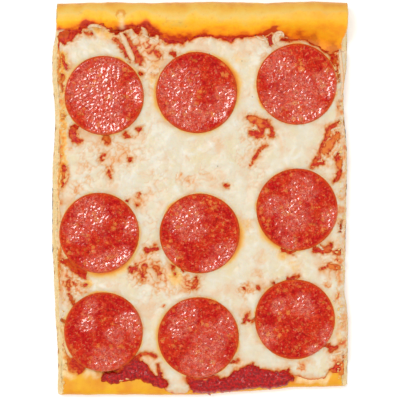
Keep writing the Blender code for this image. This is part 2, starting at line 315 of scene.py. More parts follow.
# Places (x, y, half width, strength) where red oil has stained the cheese, and where yellow oil has.
RED_STAINS = (
    (-50, 86, 3, 0.6), (-33, 79, 5, 0.5), (-25, 77, 6, 0.7), (-21, 69, 5, 0.65), (-28, 70, 4, 0.5),
    (-70, 60, 2.4, 0.8), (-70.5, 51, 2, 0.5), (-70, 42, 1.8, 0.8), (-69.4, 36, 2, 0.7),
    (-70, 28, 2, 0.5), (-69.5, 20, 2, 0.4), (-69, 12, 2.5, 0.7), (-66, 26, 3, 0.3), (-52, 24, 5, 0.25),
    (-43, 28, 8, 0.3), (-38, 24, 9, 0.25), (-46, 16, 5, 0.4), (-50, 21, 2.2, 0.5), (-46, 12, 2, 0.45),
    (-32, 33, 6, 0.25), (-62.5, 5.1, 4, 0.45), (-55, 9, 4, 0.25), (-31, 0, 4, 0.45), (-9, 11, 3, 0.35),
    (-5.5, 8.4, 3, 0.4), (-23, 6, 6, 0.15), (1, 13, 5, 0.15), (-28, -36, 8, 0.6), (-19, -41, 7, 0.5),
    (-6, -43, 5, 0.65), (-68, -40, 5, 0.45), (-61, -44, 5, 0.6), (-70, -52, 3, 0.25),
    (-24, -25, 5, 0.25), (29.7, 10.6, 3, 0.1), (24, 30, 5, 0.2), (30, 28, 4, 0.3), (28, 38, 4, 0.5),
    (66, 22, 6, 0.35), (70, 30, 4, 0.45), (70, 8, 4, 0.15), (70.2, -30.4, 3.5, 0.75), (68, -37, 4, 0.4),
    (64.3, -43.2, 2.2, 0.75), (70, -50, 3, 0.4), (72, -62, 2.5, 0.35), (33, -48, 5, 0.22),
    (36, -57, 4, 0.4), (25, -60, 2, 0.5), (52, -83.5, 2, 0.7), (50.5, -86.5, 2, 0.7),
    (70, -84, 4, 0.55), (73, -93, 3, 0.2), (31, -40, 4, 0.12), (35, 71, 4, 0.35), (38, 76, 4, 0.25),
    (71, 55, 2, 0.25), (-24, 62, 4, 0.6), (-23.5, 54, 3, 0.5), (24, -46, 4, 0.4), (23, -14, 4, 0.15),
    (-24, -13, 4, 0.2), (-56, 16, 8, 0.2), (-28, -30, 5, 0.15), (20, 22, 5, 0.12), (46, -27.5, 3, 0.6),
    (13.4, 6.3, 2, 0.6), (-17.4, -54.7, 1, 0.8),
)
YELLOW_STAINS = (
    (-57, -42.5, 3, 0.6), (-51, -42.5, 3.4, 0.2), (-24, 60, 4, 0.4), (23, -14, 5, 0.3),
    (-47, 83.5, 4, 0.5), (-12, -40, 5, 0.6), (43, -29, 4, 0.5), (47, -34, 5, 0.35), (33, -30, 4, 0.25),
    (-52, 86, 3, 0.6), (58, -86, 4, 0.2), (-22, 68, 5, 0.3), (20, 70, 5, 0.35), (9, 75, 4, 0.2),
    (30, 62, 4, 0.2), (-68, -88, 5, 0.3), (72, -70, 3, 0.35), (-60, -88, 7, 0.3), (28, 66, 3, 0.2),
    (66, -88, 4, 0.3),
)

# Where oil has run from a slice of pepperoni: (its index, way in degrees, spread in degrees, strength).
OILY_RINGS = (
    (0, 150, 50, 0.5), (1, 22, 46, 1.0), (1, 190, 25, 0.7), (1, -80, 50, 0.5), (2, 180, 50, 0.4),
    (3, -72, 48, 1.0), (4, -15, 45, 0.9), (5, -125, 40, 0.8), (6, 170, 50, 0.5), (7, 180, 60, 0.6),
    (8, 0, 50, 0.4),
)

# Spots on each slice of pepperoni that are wet with fat: (x, y, half width) as shares of its radius.
WET_SPOTS = (
    ((-0.4, 0.15, 0.6), (0.05, -0.1, 0.5), (0.1, 0.65, 0.4), (0.8, 0.1, 0.3), (0.0, -0.6, 0.55)),
    ((-0.5, 0.15, 0.5), (-0.4, -0.4, 0.4), (0.7, -0.1, 0.28), (0.5, -0.5, 0.25), (-0.1, -0.6, 0.35)),
    ((-0.45, 0.4, 0.42), (0.0, -0.1, 0.5), (0.15, -0.6, 0.5), (0.8, 0.0, 0.35), (-0.6, -0.5, 0.3)),
    ((-0.2, 0.45, 0.4), (-0.6, 0.0, 0.25), (0.8, 0.2, 0.22), (0.0, -0.85, 0.4), (0.6, -0.65, 0.3)),
    ((-0.3, 0.35, 0.42), (-0.1, 0.1, 0.25), (0.7, -0.6, 0.35), (-0.75, -0.5, 0.2), (0.3, -0.85, 0.25)),
    ((-0.1, -0.15, 0.42), (0.1, 0.5, 0.35), (0.85, -0.2, 0.25), (-0.2, -0.85, 0.22), (-0.6, 0.1, 0.25)),
    ((0.7, 0.2, 0.35), (0.3, -0.1, 0.25), (0.1, -0.75, 0.4), (-0.3, 0.65, 0.2), (-0.4, 0.2, 0.22)),
    ((-0.3, 0.6, 0.3), (-0.5, 0.25, 0.3), (0.3, -0.1, 0.45), (0.1, -0.65, 0.5), (0.7, 0.35, 0.25)),
    ((-0.7, -0.45, 0.25), (0.85, -0.45, 0.25), (0.2, 0.35, 0.3), (0.5, -0.8, 0.2), (-0.4, 0.3, 0.2)),
)


def positive(gap):
    """Distances, with 0 for those below 0, up to the farthest that a chart holds."""
    return np.clip(gap, 0, FAR)


def falloff(gap, reach):
    """A share that is 1 up to a gap of 0, and falls as the gap grows."""
    return np.exp(-positive(gap) / reach)


def toward(x, y, way, spread):
    """A share that is 1 one way from the middle, in degrees, and falls as the turn from it grows."""
    turn = (np.degrees(np.arctan2(y, x)) - way + 180) % 360 - 180
    return np.exp(-(turn / spread) ** 2)


def ease(share):
    """Shares from 0 to 1 that start and end gently."""
    share = np.clip(share, 0, 1)
    return share * share * (3 - 2 * share)


def along(line, place):
    """The distances that a smooth line of (place, distance) points has at these places."""
    places, distances = np.array(line, float).T
    low = np.clip(np.searchsorted(places, place) - 1, 0, len(line) - 2)
    share = ease((place - places[low]) / (places[low + 1] - places[low]))
    return distances[low] + (distances[low + 1] - distances[low]) * share


def cut_side(share, y, inset=0.0):
    """X at shares from the left cut side, 0, to the right one, 1."""
    left = -along(LEFT_CUT, y) + inset
    right = along(RIGHT_CUT, y) - inset
    return left + (right - left) * share


def rim_foot(x):
    """Y where the rim starts to rise from the dough."""
    return along(BACK_EDGE, x) - along(RIM_REACH, x)


def rim_crest(x):
    """Y of the rim's highest line."""
    return along(BACK_EDGE, x) - RIM_BACK_RADIUS


def dough_top(x, y):
    """Height of the dough's upper surface."""
    front = -along(FRONT_EDGE, x) + FRONT_RADIUS
    low = FRONT_THICKNESS + (DOUGH_THICKNESS - FRONT_THICKNESS) * ease((y - front) / FRONT_SLOPE)
    beyond = np.clip((front - y) / FRONT_RADIUS, 0, 0.95)
    low = low - FRONT_THICKNESS / 2 * (1 - (1 - beyond ** ROUND_POWER) ** (1 / ROUND_POWER))
    rise = ease((y - rim_foot(x)) / (rim_crest(x) - rim_foot(x)))
    return low + (along(RIM_HEIGHT, x) - low) * rise


# ---- Noise, and charts of values over the slice ----

DICE = np.random.default_rng(11)
TURNS = DICE.permutation(256)
SLOPES = DICE.normal(size=(256, 3))
SLOPES /= np.linalg.norm(SLOPES, axis=1, keepdims=True)
NOISE_GAIN = 1.7


def noise(size, *place, seed):
    """Smooth noise of about -1 to 1, with bumps of about this size, at places of 1 to 3 coordinates."""
    scaled = [np.asarray(p, float) / size + 17.3 * seed + 5.9 * axis for axis, p in enumerate(place)]
    cells = [np.floor(s).astype(int) for s in scaled]
    parts = [s - c for s, c in zip(scaled, cells)]
    fades = [p ** 3 * (p * (6 * p - 15) + 10) for p in parts]
    total = 0
    for corner in itertools.product((0, 1), repeat=len(place)):
        key = seed
        weight = NOISE_GAIN
        lift = 0
        for step, cell, fade in zip(corner, cells, fades):
            key = TURNS[(key + cell + step) & 255]
            weight = weight * (fade if step else 1 - fade)
        for axis, (step, part) in enumerate(zip(corner, parts)):
            lift = lift + SLOPES[key, axis] * (part - step)
        total = total + weight * lift
    return total


def layers(place, *waves):
    """The sum of waves of noise, each given as (height, size, seed)."""
    return sum(height * noise(size, *place, seed=seed) for height, size, seed in waves)


CHART_STEP = 0.3
CHART_X = np.arange(-78, 78, CHART_STEP)
CHART_Y = np.arange(-103, 103, CHART_STEP)
AT_X, AT_Y = np.meshgrid(CHART_X, CHART_Y)
FAR = 8
MELTED_SHREDS = 700


def read(chart, x, y):
    """The values of a chart at any places, from the four chart points round each."""
    column = np.clip((x - CHART_X[0]) / CHART_STEP, 0, len(CHART_X) - 1.001)
    row = np.clip((y - CHART_Y[0]) / CHART_STEP, 0, len(CHART_Y) - 1.001)
    left, low = column.astype(int), row.astype(int)
    across, up = column - left, row - low
    lower = chart[low, left] * (1 - across) + chart[low, left + 1] * across
    upper = chart[low + 1, left] * (1 - across) + chart[low + 1, left + 1] * across
    return lower * (1 - up) + upper * up


def soften(chart, width):
    """A chart blurred over a width."""
    high = np.fft.fftfreq(chart.shape[0], CHART_STEP)[:, None]
    wide = np.fft.rfftfreq(chart.shape[1], CHART_STEP)[None, :]
    blur = np.exp(-2 * (math.pi * width) ** 2 * (high ** 2 + wide ** 2))
    return np.fft.irfft2(np.fft.rfft2(chart) * blur, chart.shape)


def window(low_x, high_x, low_y, high_y):
    """The rows and columns of a chart that cover a rectangle."""
    columns = slice(*np.searchsorted(CHART_X, (low_x, high_x)))
    rows = slice(*np.searchsorted(CHART_Y, (low_y, high_y)))
    return rows, columns


def stroke_gap(strokes, x, y):
    """A chart of the distance from the nearest stroke, negative inside it."""
    gap = np.full(x.shape, float(FAR))
    for stroke in strokes:
        for (ax, ay, ar), (bx, by, br) in zip(stroke, stroke[1:] or stroke):
            near = window(min(ax, bx) - FAR, max(ax, bx) + FAR, min(ay, by) - FAR, max(ay, by) + FAR)
            px, py = x[near] - ax, y[near] - ay
            dx, dy = bx - ax, by - ay
            share = np.clip((px * dx + py * dy) / max(dx * dx + dy * dy, 1e-9), 0, 1)
            away = np.hypot(px - share * dx, py - share * dy) - (ar + (br - ar) * share)
            gap[near] = np.minimum(gap[near], away)
    return gap


def stains(spots, x, y):
    """A chart of soft round stains (x, y, half width, strength)."""
    chart = np.zeros(x.shape)
    for sx, sy, width, strength in spots:
        near = window(sx - 3 * width, sx + 3 * width, sy - 3 * width, sy + 3 * width)
        away = ((x[near] - sx) ** 2 + (y[near] - sy) ** 2) / width ** 2
        chart[near] = np.maximum(chart[near], strength * np.exp(-away))
    return chart


def melted_shreds(count, seed):
    """A chart of the low ridges that grated cheese leaves when it has melted."""
    dice = np.random.default_rng(seed)
    chart = np.zeros(AT_X.shape)
    for _ in range(count):
        cx, cy = dice.uniform(-74, 74), dice.uniform(-98, 90)
        turn, half, radius = dice.uniform(0, math.pi), dice.uniform(2.5, 6.5), dice.uniform(0.8, 1.5)
        reach = half + radius + 1
        near = window(cx - reach, cx + reach, cy - reach, cy + reach)
        px, py = SHRED_X[near] - cx, SHRED_Y[near] - cy
        forth = px * math.cos(turn) + py * math.sin(turn)
        aside = py * math.cos(turn) - px * math.sin(turn)
        away = np.hypot(np.maximum(np.abs(forth) - half, 0), aside) / radius
        ridge = dice.uniform(0.5, 1) * np.sqrt(np.clip(1 - away ** 2, 0, 1))
        chart[near] = np.maximum(chart[near] * 0.92, ridge)
    return chart


class Disc:
    """Where a slice of pepperoni lies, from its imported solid."""

    def __init__(self, node):
        low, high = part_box(node)
        self.node = node
        self.x = (low.x + high.x) / 2 / MM
        self.y = (low.y + high.y) / 2 / MM
        self.radius = (high.x - low.x) / 2 / MM

    def gap(self, x, y):
        """Distance from the edge of the slice of pepperoni, negative inside it."""
        return np.hypot(x - self.x, y - self.y) - self.radius


DISCS = [Disc(f"pepperoni_{index}") for index in range(1, 10)]
SEAT_INSET = 1.8
HIDDEN_INSET = 3.2


def disc_gap(x, y):
    """Distance from the nearest slice of pepperoni."""
    return np.minimum.reduce([disc.gap(x, y) for disc in DISCS])


WAVE_X = AT_X + layers((AT_X, AT_Y), (0.55, 3.4, 1), (0.3, 1.3, 2))
WAVE_Y = AT_Y + layers((AT_X, AT_Y), (0.55, 3.4, 3), (0.3, 1.3, 4))
SHRED_X = AT_X + 1.6 * noise(8, AT_X, AT_Y, seed=5)
SHRED_Y = AT_Y + 1.6 * noise(8, AT_X, AT_Y, seed=6)
DISC_GAP = disc_gap(AT_X, AT_Y)
SHRED_RELIEF = soften(melted_shreds(MELTED_SHREDS, seed=21), 0.6)
FOLDS = noise(3.8, SHRED_X, SHRED_Y, seed=52) + 0.4 * noise(1.5, WAVE_X, WAVE_Y, seed=53)
CREASE = np.exp(-np.abs(FOLDS) / 0.1)
RED_STAIN = stains(RED_STAINS, SHRED_X, SHRED_Y)
YELLOW_STAIN = stains(YELLOW_STAINS, SHRED_X, SHRED_Y)
OILY_SAUCE_STAIN = stains(OILY_SAUCE, WAVE_X, WAVE_Y)


def rim_share(x, y):
    """1 at the edge of the sauce along the rim, and 0 away from it."""
    return ease((y - along(SAUCE_RIM, x) + 6) / 3)


def chart_edges(left, right, front, back):
    """A chart of the distance inside an outline of four lines, with a ragged edge."""
    gaps = (WAVE_X + left, right - WAVE_X, WAVE_Y + front, back - WAVE_Y)
    return np.clip(np.minimum.reduce(gaps), -FAR, FAR)


def chart_sauce():
    """A chart of the distance inside the sauce."""
    right = along(RIGHT_CUT, AT_Y) - SAUCE_RIGHT_MARGIN
    front, back = along(SAUCE_FRONT, AT_X), along(SAUCE_RIM, AT_X) - 0.4
    ragged = layers((AT_X, AT_Y), (0.9, 2.8, 41), (0.5, 1.2, 42))
    ragged = ragged + 0.8 * noise(1.4, 0.45 * AT_X, AT_Y, seed=54) * rim_share(AT_X, AT_Y)
    inside = chart_edges(along(SAUCE_LEFT, AT_Y), right, front, back) + ragged
    return np.maximum(inside, -MASS_GAP)


def chart_openings():
    """A chart of the distance from the openings in the cheese, negative inside them."""
    ragged = layers((AT_X, AT_Y), (0.5, 1.9, 49), (0.45, 1.0, 50))
    return stroke_gap(OPENINGS, WAVE_X, WAVE_Y) + ragged - 1.2 * CREASE + 0.3


def chart_cheese():
    """A chart of the distance inside the cheese."""
    right = along(RIGHT_CUT, AT_Y) - CHEESE_RIGHT_MARGIN
    front, back = along(CHEESE_FRONT, AT_X), along(CHEESE_RIM, AT_X)
    inside = chart_edges(along(CHEESE_LEFT, AT_Y), right, front, back)
    beside = MASS_GAP + 0.5 - 2.5 * falloff(DISC_GAP, 1.5)
    inside = np.minimum.reduce([inside, OPENING_GAP, beside, stroke_gap(CRACKS, WAVE_X, WAVE_Y)])
    inside = np.maximum(inside, -stroke_gap(CHEESE_BITS, WAVE_X, WAVE_Y))
    return np.maximum(inside, np.minimum(-DISC_GAP - SEAT_INSET, FAR))


MASS_GAP = stroke_gap(SAUCE_MASSES, WAVE_X, WAVE_Y)
MASS_GAP += layers((AT_X, AT_Y), (0.7, 2.6, 43), (0.45, 1.2, 44))
SAUCE_INSIDE = chart_sauce()
OPENING_GAP = chart_openings()
CHEESE_INSIDE = chart_cheese()


def lip(inside, reach):
    """The rise, from 0 to 1, of a rounded edge at a distance inside it."""
    share = np.clip(inside / reach, 0, 1)
    return np.sqrt(1 - (1 - share) ** 2)


def sauce_top(x, y):
    """Height of the sauce."""
    inside, mass = read(SAUCE_INSIDE, x, y), -read(MASS_GAP, x, y)
    grain = layers((x, y), (0.2, 2.2, 7), (0.15, 0.95, 8))
    heap = MASS_DEPTH * lip(mass, 2.4) * (1 + layers((x, y), (0.3, 6, 9), (0.12, 2.6, 62)))
    thin = 1 - 0.6 * falloff(inside, 3)
    depth = SAUCE_DEPTH * thin * (1 + 0.3 * noise(5, x, y, seed=10)) + heap
    well = positive(SEAT_DEPTH - 0.6 - depth)
    depth = depth + well * np.exp(-(read(DISC_GAP, x, y) / 1.7) ** 2)
    return dough_top(x, y) + (depth + grain * (0.8 + 0.6 * heap)) * lip(inside, 1.4) - SUNK


def sauce_sole(x, y):
    """Height of the underside of the sauce, which is sunk into the dough."""
    return dough_top(x, y) - 0.4


def bare_share(x, y):
    """1 where there is no sauce on the dough, and 0 well inside the sauce."""
    return ease(1 - read(SAUCE_INSIDE, x, y))


def cheese_top(x, y):
    """Height of the cheese, with rounded lips at its openings and flat seats under the pepperoni."""
    inside, clear = read(CHEESE_INSIDE, x, y), read(DISC_GAP, x, y)
    ridges, creases = read(SHRED_RELIEF, x, y), read(CREASE, x, y)
    swell = layers((x, y), (0.5, 13, 12), (0.34, 5.5, 13), (0.04, 2.4, 14))
    depth = CHEESE_DEPTH - 1.3 * falloff(inside, 2.6) + swell + 0.3 * (ridges - 0.5)
    depth = depth - read(RED_STAIN, x, y) * (0.5 + 1.1 * creases) - 0.15 * creases
    depth = depth + (SEAT_DEPTH + SEAT_LIP - depth) * falloff(clear, 1.4)
    depth = np.where(clear < 0, SEAT_DEPTH + SEAT_LIP * ease(1 + clear / 1.2), depth)
    depth = np.where(clear < -SEAT_INSET, SEAT_DEPTH, depth)
    floor = SAUCE_DEPTH - 0.3 - 1.1 * bare_share(x, y)
    return dough_top(x, y) + floor + (depth - floor) * lip(inside, LIP_REACH * (1 + bare_share(x, y)))


def cheese_sole(x, y):
    """Height of the underside of the cheese."""
    return dough_top(x, y) + SAUCE_DEPTH - 1.1 - 0.8 * bare_share(x, y)


# ---- Meshes ----


def places(verts):
    """The coordinates of mesh corners as an array with a row for each axis."""
    return np.array([v.co for v in verts], float).reshape(-1, 3).T


def place(verts, x, y, z):
    """Moves mesh corners to these coordinates."""
    rows = np.stack(np.broadcast_arrays(x, y, z), axis=-1).reshape(-1, 3)
    for vert, co in zip(verts, rows.tolist()):
        vert.co = co


def gridded_box(cuts):
    """A box from (0, 0, 0) to (1, 1, 1) whose faces are cut into strips along X, Y and Z."""
    bm = bmesh.new()
    bmesh.ops.create_cube(bm, size=1)
    bmesh.ops.translate(bm, verts=bm.verts, vec=(0.5, 0.5, 0.5))
    for axis, count in enumerate(cuts):
        edges = [e for e in bm.edges if abs((e.verts[0].co - e.verts[1].co)[axis]) > 0.5]
        bmesh.ops.subdivide_edges(bm, edges=edges, cuts=count - 1, use_grid_fill=True)
    return bm


def dissolve(bm, wanted):
    """Joins the faces whose middle is wanted."""
    bmesh.ops.dissolve_faces(bm, faces=[f for f in bm.faces if wanted(f.calc_center_median())])


def refine(bm, cuts, wanted):
    """Cuts the faces whose middle is wanted into smaller ones."""
    edges = {edge for face in bm.faces if wanted(face.calc_center_median()) for edge in face.edges}
    bmesh.ops.subdivide_edges(bm, edges=list(edges), cuts=cuts, use_grid_fill=True)


SHEET_WIDTH = 152
SHEET_LENGTH = 206
NEAREST_CUT = 0.12


def cut_grid(inside_chart, step):
    """A flat grid over the slice, kept where the chart is positive. No cut is very near a grid point."""
    bm = bmesh.new()
    wide, long = round(SHEET_WIDTH / step), round(SHEET_LENGTH / step)
    bmesh.ops.create_grid(bm, x_segments=wide, y_segments=long, size=0.5)
    x, y, _ = places(bm.verts)
    x, y = x / np.ptp(x) * wide * step, y / np.ptp(y) * long * step
    place(bm.verts, x, y, 0)
    inside = read(inside_chart, x, y)
    inside[np.abs(inside) < NEAREST_CUT * step] = NEAREST_CUT * step
    bm.verts.index_update()
    outside = {vert for vert, value in zip(bm.verts, inside) if value < 0}
    rim = []
    for edge in [e for e in bm.edges if (e.verts[0] in outside) != (e.verts[1] in outside)]:
        first, last = edge.verts
        start, end = inside[first.index], inside[last.index]
        rim.append(bmesh.utils.edge_split(edge, first, start / (start - end))[1])
    bmesh.ops.connect_verts(bm, verts=rim)
    beyond = [f for f in bm.faces if any(v in outside for v in f.verts)]
    bmesh.ops.delete(bm, geom=beyond, context="FACES")
    return bm


def layer_sheet(inside_chart, top, sole, step):
    """A closed sheet over the slice: kept where the chart is positive, between a top and a sole."""
    bm = cut_grid(inside_chart, step)
    dissolve_seats(bm)
    edges = [e for e in bm.edges if e.is_boundary]
    walls = bmesh.ops.extrude_edge_only(bm, edges=edges)["geom"]
    soles = [v for v in walls if isinstance(v, bmesh.types.BMVert)]
    under = set(soles)
    tops = [v for v in bm.verts if v not in under]
    x, y, _ = places(tops)
    place(tops, x, y, top(x, y))
    x, y, _ = places(soles)
    place(soles, x, y, sole(x, y))
    number = numbered(bm.verts, lambda vert: [edge.other_vert(vert) for edge in vert.link_edges])
    rims = {}
    for edge in walls:
        if isinstance(edge, bmesh.types.BMEdge):
            rims.setdefault(number[edge.verts[0]], []).append(edge)
    for edges in rims.values():
        fill_sole(bm, edges)
    bmesh.ops.recalc_face_normals(bm, faces=bm.faces)
    return bm


def numbered(parts, neighbours):
    """A number for each mesh part, the same for all that are joined through neighbours."""
    number = {}
    for count, start in enumerate(parts):
        reached = [] if start in number else [start]
        while reached:
            part = reached.pop()
            if part not in number:
                number[part] = count
                reached += neighbours(part)
    return number


def fill_sole(bm, rim):
    """Fills between an outline and the openings in it, which stay open."""
    made = bmesh.ops.triangle_fill(bm, edges=rim, use_beauty=False, use_dissolve=False, normal=(0, 0, -1))
    faces = [part for part in made["geom"] if isinstance(part, bmesh.types.BMFace)]
    kept, ends = set(faces), set(rim)
    number = numbered(faces, lambda face: [
        other for edge in face.edges if edge not in ends for other in edge.link_faces if other in kept
    ])
    counts = collections.Counter(number.values())
    main = max(counts, key=counts.get)
    bmesh.ops.delete(bm, geom=[f for f in faces if number[f] != main], context="FACES_ONLY")


def dissolve_seats(bm):
    """Joins the hidden faces under each slice of pepperoni into one."""
    for disc in DISCS:
        reach = disc.radius - HIDDEN_INSET
        hidden = [
            f for f in bm.faces
            if math.hypot(f.verts[0].co.x - disc.x, f.verts[0].co.y - disc.y) < reach
        ]
        bmesh.ops.dissolve_faces(bm, faces=hidden)


def add_piece(name, bm, finish, slot, replaced=None, **attributes):
    """Puts a finished shape, in millimetres, on the slice, with its attributes for the finish."""
    mesh = bpy.data.meshes.new(name)
    bm.to_mesh(mesh)
    bm.free()
    x, y, z = places(mesh.vertices)
    for attribute, values in attributes.items():
        values = values(x, y, z) if callable(values) else values
        made = mesh.attributes.new(attribute, "FLOAT", "POINT")
        made.data.foreach_set("value", np.broadcast_to(values, x.shape).astype(np.float32))
    mesh.transform(Matrix.Scale(MM, 4))
    mesh.shade_smooth()
    mesh.materials.append(finish)
    piece = bpy.data.objects.new(name, mesh)
    bpy.context.scene.collection.objects.link(piece)
    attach(piece, "root")
    if replaced:
        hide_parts(replaced)


# ---- The crust ----

SLICE_WIDTH = 150
HIGHEST = 20.2
CRUST_COLUMNS = 110
FLAT_ROWS = 130
RISE_ROWS = 18
EDGE_ROWS = 12
CUT_SKIN = 1e-4
BUBBLES = 1500
RIM_CREASE_X = -49
BURST_X = -40
BURST_Y = 93.2
PALE_STREAK_X = -39.6
PALE_PATCH_X = 37
PALE_PATCH_Y = 87
PALE_FRONT = 92
PLAIN_BAKE = 0.27


def round_end(share, height, radius):
    """(reach, height) on a rounded edge, from its bottom at share 0 to its top at share 1."""
    angle = math.pi * (share - 0.5)
    reach = radius * np.clip(np.cos(angle), 0, 1) ** (2 / ROUND_POWER)
    rise = np.copysign(np.abs(np.sin(angle)) ** (2 / ROUND_POWER), angle)
    return reach, height / 2 * (1 + rise)


def crust_place(share, b, c):
    """A place on the dough: share runs across, b from the front to the rim's crest, and c upwards."""
    x = (share - 0.5) * SLICE_WIDTH
    front = -along(FRONT_EDGE, x) + FRONT_RADIUS
    foot, crest = rim_foot(x), rim_crest(x)
    y = np.where(b < 2 / 3, front + (foot - front) * 1.5 * b, foot + (crest - foot) * (3 * b - 2))
    reach, z = round_end(c, FRONT_THICKNESS, FRONT_RADIUS)
    back_reach, back_z = round_end(c, along(RIM_HEIGHT, x), RIM_BACK_RADIUS)
    flat = (1 - b) * FRONT_THICKNESS + b * along(RIM_HEIGHT, x)
    z = c * (dough_top(x, y) - flat) + (1 - b) * z + b * back_z
    y = y - (1 - b) * reach + b * back_reach
    lean = CUT_LEAN * ease(z / DOUGH_THICKNESS) * (1 - 0.85 * ease((y - 78) / 8))
    return cut_side(share, y, lean), y, z


def bubble_pits(y, z, side):
    """Depths of the open bubbles in one cut side of the dough."""
    dice = np.random.default_rng(40 + side)
    depth = np.zeros(y.shape)
    for _ in range(BUBBLES):
        size = 0.3 + 1.0 * dice.random() ** 2.5
        middle_y = dice.uniform(-98, 99)
        middle_z = dice.uniform(1.2, 9.6 if middle_y < 78 else 18)
        near = (np.abs(y - middle_y) < 2 * size) & (np.abs(z - middle_z) < size)
        away = ((y[near] - middle_y) / (1.7 * size)) ** 2 + ((z[near] - middle_z) / size) ** 2
        depth[near] = np.maximum(depth[near], 0.75 * size * np.sqrt(np.clip(1 - away, 0, 1)))
    return depth


def burst_gap(x, y):
    """Distance from the middle of the rim's one burst bubble."""
    return np.hypot(x - BURST_X, y - BURST_Y)


def rim_marks(x, y):
    """Lifts of the rim's one crease and one burst bubble."""
    away = x - RIM_CREASE_X + 0.6 * noise(5, x, y, seed=15)
    crease = -0.6 * np.exp(-(away / 1.2) ** 2) * ease((y - 86) / 4)
    away = burst_gap(x, y)
    return crease + 0.5 * np.exp(-((away - 2.0) / 0.5) ** 2) - 1.1 * np.exp(-(away / 1.5) ** 4)


def rim_right(x, y):
    """1 at the right end of the rim, up to its crest, where it is baked less."""
    return ease((x - 30) / 30) * (1 - ease((y - rim_crest(x) - 2) / 5))


def crust_bake(x, y, z):
    """How brown the dough is, from 0 beside the sauce to 1 at the back of the rim."""
    sauce_line, back = along(SAUCE_RIM, x), along(BACK_EDGE, x)
    rim = np.clip((y - sauce_line) / (back - sauce_line), 0, 1) * (1 - 0.5 * rim_right(x, y))
    streaky = np.clip(0.5 + 0.7 * noise(1.8, 0.5 * x, y, seed=66), 0, 1.2)
    patch = np.exp(-((x - PALE_PATCH_X) / 5) ** 2 - ((y - PALE_PATCH_Y) / 3.6) ** 2)
    ring = np.exp(-((burst_gap(x, y) - 1.9) / 0.5) ** 2) * ease((y - BURST_Y + 1) / 1.5)
    rim = rim - 0.32 * streaky * patch + 1.2 * ring
    wander = layers((x, y, z), (0.1, 7, 23), (0.06, 2.5, 24))
    wander = wander + 0.13 * noise(6, x, 0.4 * y, seed=67) * ease((y - 84) / 4)
    return np.where(y > 0, rim, PLAIN_BAKE) + wander


def crust_crumb(x, y, z, cut):
    """1 where pale crumb shows: at the cut sides, beside the toppings, and at the front and bubble."""
    edge = np.minimum(x + along(LEFT_CUT, y), along(RIGHT_CUT, y) - x)
    bare = ease((5.2 - edge) / 1.5) * ease((along(SAUCE_RIM, x) + 1 - y) / 2) * ease((y + 91.5) / 2)
    line = PALE_FRONT + 3.6 * ease((x - 44) / 3) * ease((67 - x) / 3) - 2.6 * ease((x - 66) / 3)
    line = line + layers((x, y), (1.5, 6, 25), (1, 2, 58))
    pale = np.where(y < 0, ease((y + line) / 3), 0.8 * np.exp(-(burst_gap(x, y) / 1.1) ** 4))
    streak = np.exp(-((x - PALE_STREAK_X) / 1.35) ** 2) * ease((92.5 - y) / 1.5) * ease((y - 85) / 2)
    streak = streak * (0.95 + 0.4 * noise(1.6, x, y, seed=68))
    pale = np.clip(np.maximum(pale, streak), 0, 1)
    side = np.where(cut, 1 - 0.75 * ease((y - 82) / 5) * ease((z - 11) / 3), 0)
    return np.maximum(side, np.maximum(bare, 0.8 * pale) * (z > 5)) * ease(z / 0.7)


def crust_stain(x, y, z):
    """1 where the sauce has soaked into the dough beside it."""
    beyond = positive(-read(SAUCE_INSIDE, x, y)) + 1.2 * noise(2.4, x, y, seed=45)
    top = dough_top(x, y) - 2 - 0.8 * noise(2.5, y, seed=59)
    return falloff(beyond, 1.3) * (y < along(SAUCE_RIM, x) - 2) * ease((z - top) / 1.4)


def make_crust(finish):
    """The baked dough: a smooth rim and front edge, and torn crumb with open bubbles at the cuts."""
    rows = FLAT_ROWS + RISE_ROWS
    bm = gridded_box((CRUST_COLUMNS, rows, EDGE_ROWS))
    dissolve(bm, lambda co: co.z > 1 - CUT_SKIN and abs(co.x - 0.5) < 0.4 and 0.2 < co.y < 0.78)
    refine(bm, 2, lambda co: not CUT_SKIN < co.x < 1 - CUT_SKIN)
    refine(bm, 1, lambda co: co.y > 0.84 and co.z > 1 - CUT_SKIN)
    refine(bm, 1, lambda co: co.y < 0.08 and co.z > 1 - CUT_SKIN)
    refine(bm, 1, lambda co: not CUT_SKIN < co.y < 1 - CUT_SKIN)

    share, b, c = places(bm.verts)
    turn = FLAT_ROWS / rows
    b = np.where(b < turn, b / turn * 2 / 3, 2 / 3 + (b - turn) / (1 - turn) / 3)
    place(bm.verts, *crust_place(share, b, c))
    bm.normal_update()
    x, y, z = places(bm.verts)
    out = np.array([v.normal for v in bm.verts]).T

    cut = (share < CUT_SKIN) | (share > 1 - CUT_SKIN)
    pits = np.where(share < 0.5, bubble_pits(y, z, 0), bubble_pits(y, z, 1)) * cut
    visible = np.maximum.reduce([ease((np.abs(x) - 60) / 4), ease((y - 66) / 6), ease((-70 - y) / 6)])
    lift = layers((x, y, z), (0.3, 12, 16), (0.14, 4.5, 17), (0.05, 1.4, 18))
    lift = lift + np.where(z > 10, rim_marks(x, y), 0)
    torn = layers((x, y, z), (0.2, 1.5, 19), (0.1, 0.7, 20))
    lift = (lift + cut * torn) * visible - pits
    bottom = z < 0.05
    x, y, z = x + out[0] * lift, y + out[1] * lift, z + out[2] * lift
    z = np.where(bottom, 0.3 * np.clip(noise(7, x, y, seed=22), 0, 1), np.clip(z, 0.02, HIGHEST))
    place(bm.verts, x, y, z)
    add_piece(
        "baked_crust", bm, finish, "baked_dough", "crust", bake=crust_bake(x, y, z), pore=pits,
        crumb=crust_crumb(x, y, z, cut), stain=crust_stain(x, y, z), under=1 - ease((z - 0.3) / 0.5),
        front=np.where(y < 0, ease((-60 - y) / 10), 0.4 * rim_right(x, y)),
    )


# ---- Sauce, cheese and pepperoni ----

SAUCE_STEP = 0.52
CHEESE_STEP = 0.47
OILY_BAND_X = -70.4


